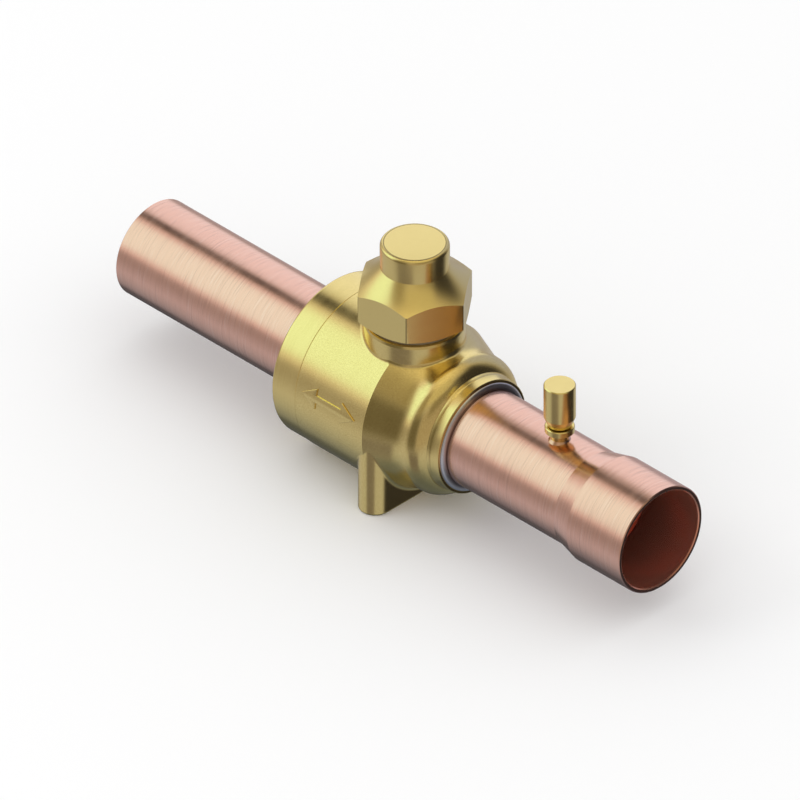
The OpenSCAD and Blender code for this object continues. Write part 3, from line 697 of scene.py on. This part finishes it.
def addSealCap():
    cap, middle = capShape, Vector((spindleX, 0, 0))
    bm = bmesh.new()
    line = [bm.verts.new((spindleX + r * mm, 0, axisHeight + z * mm)) for r, z in capOutline()]
    for first, second in zip(line, line[1:]):
        bm.edges.new((first, second))
    fullSpin(bm, middle, (0, 0, 1), cap["steps"])
    bmesh.ops.remove_doubles(bm, verts=bm.verts, dist=weldGap)
    for side in range(6):
        turn = math.radians(cap["hexTurn"] + 30 + 60 * side)
        out = Vector((math.cos(turn), math.sin(turn), 0))
        cutFlat(bm, middle + out * cap["flat"] * mm, out)
    corner = cap["flat"] / math.cos(math.radians(30)) * mm

    def onCorner(vert):
        return abs(math.hypot(vert.co.x - spindleX, vert.co.y) - corner) < 2 * near

    upright = [e for e in bm.edges if onCorner(e.verts[0]) and onCorner(e.verts[1])]
    bmesh.ops.bevel(
        bm, geom=upright, offset=cap["edgeRound"] * mm, segments=cap["edgeSteps"], profile=0.5,
        affect="EDGES", material=-1)
    piece = finishMesh("sealCapShell", bm, "seal_cap", finishes["capBrass"], cap["sharp"])
    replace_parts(piece, "seal_cap")


# The threads, in mm: radii from their own axis, heights above the pipe's axis. oldR is the solid's own wall
# or edge. The neck's chamfer is drawn out to newR. Its faces are those whose normal's rise is in faceRise.
capThread = dict(rootR=14.3, crestR=13.46, pitch=1.5, low=33.0, high=45.0)
neckThread = dict(
    oldR=13.4, rootR=12.6, crestR=13.4, pitch=1.5, low=32.2, high=43.6, wallLow=31.7, wallHigh=44.0,
    edge=dict(oldR=15.8, newR=16.45, topZ=31.7, footR=16.7, footZ=30.8, faceRise=(0.6, 0.8)))
stubThread = dict(
    oldR=3.3, rootR=2.95, crestR=3.3, pitch=0.8, low=23.0, high=31.8, wallLow=22.6, wallHigh=32.0)

# A thread's ridge: its half widths at root and crest as shares of the pitch, and its steps in a turn
screwRidge = dict(rootShare=0.42, crestShare=0.08, turnSteps=72, sharp=40)


def addScrewRidge(name, thread, centreX, body, material):
    # one closed ridge that climbs round an upright axis
    half, tip = thread["pitch"] * screwRidge["rootShare"], thread["pitch"] * screwRidge["crestShare"]
    rootR, crestR, turnSteps = thread["rootR"], thread["crestR"], screwRidge["turnSteps"]
    section = [(rootR, -half), (crestR, -tip), (crestR, tip), (rootR, half)]
    bm = bmesh.new()
    closedLoop(bm, [(centreX + r * mm, 0, axisHeight + (thread["low"] + half + z) * mm) for r, z in section])
    steps = int((thread["high"] - thread["low"] - 2 * half) / thread["pitch"] * turnSteps)
    climb = (0, 0, thread["pitch"] * mm / turnSteps)
    bmesh.ops.spin(
        bm, geom=allParts(bm), cent=(centreX, 0, 0), axis=(0, 0, 1), dvec=climb,
        angle=2 * math.pi * steps / turnSteps, steps=steps)
    bmesh.ops.holes_fill(bm, edges=[e for e in bm.edges if len(e.link_faces) == 1], sides=0)
    finishMesh(name, bm, body, material, screwRidge["sharp"])


def ringPlace(vert, centreX):
    return math.hypot(vert.co.x - centreX, vert.co.y), vert.co.z - axisHeight


def scaleRing(vert, centreX, share):
    vert.co.x, vert.co.y = centreX + (vert.co.x - centreX) * share, vert.co.y * share


def steepenEdge(bm, kept, edge, centreX):
    # draws a chamfer's top out to a wider ring and turns its normals with it
    run, rise = edge["footR"] - edge["newR"], edge["topZ"] - edge["footZ"]
    leastRise, mostRise = edge["faceRise"]
    for face in bm.faces:
        lowest = min(corner.vert.co.z - axisHeight for corner in face.loops)
        if lowest < edge["footZ"] * mm - near or not leastRise < face.normal.z < mostRise:
            continue
        for corner in face.loops:
            out = Vector((corner.vert.co.x - centreX, corner.vert.co.y, 0)).normalized()
            corner[kept] = (out * rise + Vector((0, 0, run))).normalized()
    for vert in bm.verts:
        radius, height = ringPlace(vert, centreX)
        if abs(radius - edge["oldR"] * mm) < near and abs(height - edge["topZ"] * mm) < near:
            scaleRing(vert, centreX, edge["newR"] / edge["oldR"])


def recutSolid(node, name, thread, centreX, material):
    # a merged copy of a solid with its thread's plain wall taken down to the root, its surface normals kept
    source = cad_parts[node].data
    bm = bmesh.new()
    bm.from_mesh(source)
    kept = bm.loops.layers.float_vector.new("kept")
    normals = iter(source.corner_normals)
    for face in bm.faces:
        for corner in face.loops:
            corner[kept] = next(normals).vector
    bmesh.ops.remove_doubles(bm, verts=bm.verts, dist=solidWeldGap)
    for vert in bm.verts:
        radius, height = ringPlace(vert, centreX)
        inReach = thread["wallLow"] * mm - near < height < thread["wallHigh"] * mm + near
        if inReach and abs(radius - thread["oldR"] * mm) < near:
            scaleRing(vert, centreX, thread["rootR"] / thread["oldR"])
    if "edge" in thread:
        steepenEdge(bm, kept, thread["edge"], centreX)
    mesh = closeMesh(name, bm)
    mesh.shade_smooth()
    mesh.normals_split_custom_set([entry.vector[:] for entry in mesh.attributes["kept"].data])
    mesh.attributes.remove(mesh.attributes["kept"])
    mesh.materials.append(material)
    piece = placeObject(name, mesh)
    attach(piece, "valve")
    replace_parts(piece, node)


# How far the access valve's pin goes down, in mm, and the angle past which the spring's edges are sharp
coreSpring = dict(pressed=1.2, sharp=60)


def addCoreSpring():
    # a merged copy of the core's spring, which in the valve closes up as the pin goes down, with a mesh of
    # its own
    bm = bmesh.new()
    bm.from_mesh(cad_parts["access_core_spring"].data)
    piece = finishMesh("coreSpring", bm, "valve", finishes["coreSteel"], coreSpring["sharp"])
    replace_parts(piece, "access_core_spring")
    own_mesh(piece)


addFlowArrow()
addPipeRing("mouthLip", mouthLip, finishes["mouthBrass"])
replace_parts(addPipeRing("brazeBead", brazeBead, finishes["brazeSilver"]), "outlet_braze")
addSealCap()
addScrewRidge("sealCapThread", capThread, spindleX, "seal_cap", finishes["capBrass"])
recutSolid("valve_body", "bodyForging", neckThread, spindleX, finishes["forgedBrass"])
addScrewRidge("neckThread", neckThread, spindleX, "valve", finishes["forgedBrass"])
recutSolid("access_stub", "accessStub", stubThread, accessX, finishes["accessBrass"])
addScrewRidge("accessThread", stubThread, accessX, "valve", finishes["accessBrass"])
addCoreSpring()
print("valve: arrow, lip, braze, cap, threads and spring made")

# The studio: a pale floor, a white world, one soft lamp, and a dome of light that only the metal mirrors.
# Bearings are in degrees, anticlockwise seen from above: 0 lies beyond the valve, 90 at the picture's left
# and 180 on the camera's side. The dome's light goes by height in degrees. Each patch over it has its
# bearings, its heights and the softness of its edge in degrees, and its light.
studio = dict(
    floorSize=3.0, floorShade=0.955, worldShade=1.0, domeR=1.6, centreRise=0.02, zeroBearing=135.0,
    domeRamp=[
        (-75, (0.12, 0.14, 0.18)),
        (-58, (0.18, 0.20, 0.23)),
        (-46, (0.42, 0.43, 0.46)),
        (-33, (0.53, 0.52, 0.55)),
        (-10, (0.37, 0.34, 0.33)),
        (25, (0.46, 0.43, 0.42)),
        (60, (0.60, 0.52, 0.38)),
        (80, (0.85, 0.74, 0.50))],
    patches=dict(
        keyHalo=dict(start=49, end=111, low=3, high=66, soft=5, light=(0.80, 0.70, 0.66)),
        keyCore=dict(start=60, end=107, low=11, high=56, soft=7, light=(0.97, 1.20, 1.11)),
        leftGap=dict(start=113, end=158, low=-26, high=27, soft=10, light=(0.15, 0.13, 0.10)),
        leftHaze=dict(start=113, end=148, low=26, high=64, soft=9, light=(0.32, 0.27, 0.18)),
        lowFrontGap=dict(start=122, end=174, low=-58, high=-28, soft=8, light=(0.19, 0.17, 0.19)),
        frontFill=dict(start=160, end=240, low=-24, high=30, soft=7, light=(0.42, 0.36, 0.31)),
        frontGap=dict(start=182, end=240, low=16, high=43, soft=6, light=(0.26, 0.22, 0.16)),
        frontHaze=dict(start=150, end=240, low=42, high=72, soft=6, light=(0.60, 0.53, 0.36)),
        blackFlag=dict(start=239, end=296, low=-52, high=48, soft=12, light=(0.035, 0.032, 0.036)),
        backRight=dict(start=306, end=344, low=-14, high=50, soft=8, light=(0.44, 0.46, 0.64)),
        backLight=dict(start=342, end=389, low=0, high=50, soft=5, light=(0.95, 0.97, 1.04)),
        lowBack=dict(start=-20, end=48, low=-72, high=-36, soft=8, light=(0.09, 0.10, 0.11)),
        backGap=dict(start=27, end=46, low=44, high=62, soft=4, light=(0.02, 0.02, 0.02)),
        topGap=dict(start=-24, end=50, low=54, high=72, soft=5, light=(0.10, 0.09, 0.08)),
    ),
    keyLamp=dict(bearing=100, rise=42, distance=1.3, size=0.5, power=1.2),
)
studioCentre = Vector((spindleX, 0, axisHeight + studio["centreRise"]))


def bearingPlace(bearing, rise, distance):
    turn, lift = math.radians(studio["zeroBearing"] + bearing), math.radians(rise)
    out = Vector((math.cos(turn) * math.cos(lift), math.sin(turn) * math.cos(lift), math.sin(lift)))
    return studioCentre + out * distance


def addPatch(tree, bearing, rise, colour, patch):
    low, high, soft = patch["low"], patch["high"], patch["soft"]
    middle, half = (patch["start"] + patch["end"]) / 2, (patch["end"] - patch["start"]) / 2
    turned = addMath(tree, "WRAP", bearing, middle + 180, middle - 180)
    away = addMath(tree, "ABSOLUTE", addMath(tree, "SUBTRACT", turned, middle))
    mask = addEdge(tree, away, half - soft, half + soft)
    mask = addMath(tree, "MULTIPLY", mask, addEdge(tree, rise, low + soft, low - soft))
    mask = addMath(tree, "MULTIPLY", mask, addEdge(tree, rise, high - soft, high + soft))
    return addOver(tree, mask, colour, patch["light"])


def addDomeRamp(tree, rise):
    ramp = addNode(tree, "ShaderNodeValToRGB")
    points = ramp.color_ramp.elements
    for i, (height, light) in enumerate(studio["domeRamp"]):
        place = (height + 90) / 180
        point = points[i] if i < 2 else points.new(place)       # a new ramp already has two points
        point.position = place
        point.color = (*light, 1)
    joinUp(tree, addRange(tree, rise, 0, 1, -90, 90), ramp.inputs[0])
    return ramp.outputs[0]


def domeMaterial():
    material, tree = startMaterial("domeLight")
    tree.nodes.remove(tree.nodes["Principled BSDF"])
    coords = addNode(tree, "ShaderNodeTexCoord")
    centred = addNode(tree, "ShaderNodeMapping", in1=tuple(-v for v in studioCentre))
    unit = addNode(tree, "ShaderNodeVectorMath", operation="NORMALIZE")
    split = addNode(tree, "ShaderNodeSeparateXYZ")
    joinUp(tree, coords.outputs["Object"], centred.inputs[0])
    joinUp(tree, centred.outputs[0], unit.inputs[0])
    joinUp(tree, unit.outputs[0], split.inputs[0])
    turn = addMath(tree, "DEGREES", addMath(tree, "ARCTAN2", split.outputs["Y"], split.outputs["X"]))
    bearing = addMath(tree, "SUBTRACT", turn, studio["zeroBearing"])
    rise = addMath(tree, "DEGREES", addMath(tree, "ARCSINE", split.outputs["Z"]))
    colour = addDomeRamp(tree, rise)
    for patch in studio["patches"].values():
        colour = addPatch(tree, bearing, rise, colour, patch)
    glow = addNode(tree, "ShaderNodeEmission")
    joinUp(tree, colour, glow.inputs["Color"])
    joinUp(tree, glow.outputs[0], tree.nodes["Material Output"].inputs["Surface"])
    return material


def addFloor():
    material, tree = startMaterial("paleFloor")
    shader = tree.nodes["Principled BSDF"]
    shader.inputs["Base Color"].default_value = (studio["floorShade"],) * 3 + (1,)
    shader.inputs["Roughness"].default_value = 1.0
    shader.inputs["Specular IOR Level"].default_value = 0.0
    bm = bmesh.new()
    bmesh.ops.create_grid(bm, x_segments=1, y_segments=1, size=studio["floorSize"] / 2)
    mesh = closeMesh("floor", bm)
    mesh.materials.append(material)
    floor = placeObject("floor", mesh)
    floor.visible_glossy = False


def addDome():
    bm = bmesh.new()
    bmesh.ops.create_uvsphere(bm, u_segments=48, v_segments=24, radius=studio["domeR"])
    bmesh.ops.translate(bm, verts=bm.verts, vec=studioCentre)
    mesh = closeMesh("dome", bm)
    mesh.shade_smooth()
    mesh.materials.append(domeMaterial())
    dome = placeObject("dome", mesh)
    # seen by glossy rays alone, so it neither lights nor hides anything
    dome.visible_camera = dome.visible_diffuse = dome.visible_shadow = False
    dome.visible_transmission = dome.visible_volume_scatter = False


def addWorld():
    world = bpy.data.worlds.new("studioWorld")
    scene.world = world
    world.use_nodes = True
    background = world.node_tree.nodes["Background"]
    background.inputs["Color"].default_value = (1, 1, 1, 1)
    background.inputs["Strength"].default_value = studio["worldShade"]
    world.cycles.sampling_method = "NONE"


def addKeyLamp():
    lamp = studio["keyLamp"]
    data = bpy.data.lights.new("keyLamp", "AREA")
    data.shape, data.size, data.energy = "SQUARE", lamp["size"], lamp["power"]
    key = placeObject("keyLamp", data)
    key.location = bearingPlace(lamp["bearing"], lamp["rise"], lamp["distance"])
    key.rotation_mode = "QUATERNION"
    key.rotation_quaternion = (studioCentre - key.location).to_track_quat("-Z", "Y")
    key.visible_glossy = False


addFloor()
addDome()
addWorld()
addKeyLamp()
scene.view_settings.view_transform = "Standard"
print("valve: studio ready")
